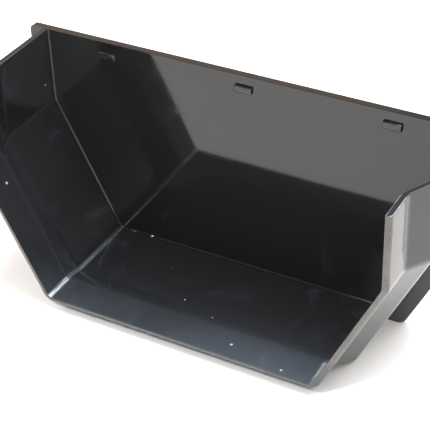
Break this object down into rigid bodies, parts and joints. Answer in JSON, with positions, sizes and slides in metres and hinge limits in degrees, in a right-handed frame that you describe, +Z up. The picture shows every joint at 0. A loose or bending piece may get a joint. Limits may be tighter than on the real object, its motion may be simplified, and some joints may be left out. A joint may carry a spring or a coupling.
{
  "type": "sluice box feed hopper",
  "caption": "Open-top, open-front feed hopper of a sluice box: bent-wall trough, stepped-in outlet collar, flanged back panel and snap-in lugs.",
  "frame": {"origin": "middle of the underside of the bounding box, on the surface that the hopper stands on", "axes": "+X across the hopper to the right seen from the mouth, +Y from the mouth towards the back panel, +Z up"},
  "size_m": [0.399, 0.1486, 0.1946],
  "materials": {
    "trough_plastic": "mirror-gloss black moulding with fine handling scuffs",
    "collar_plastic": "mirror-gloss black moulding with fine handling scuffs",
    "panel_plastic": "mirror-gloss black sheet with fine handling scuffs",
    "bead_plastic": "gloss black bonding bead",
    "lug_plastic": "satin black moulding"
  },
  "bodies": {
    "root": {"trough": "trough_plastic", "outlet_collar": "collar_plastic", "back_panel": "panel_plastic", "corner_bead": "bead_plastic", "lug_left": "lug_plastic", "lug_centre": "lug_plastic", "lug_right": "lug_plastic"}
  },
  "joints": []
}
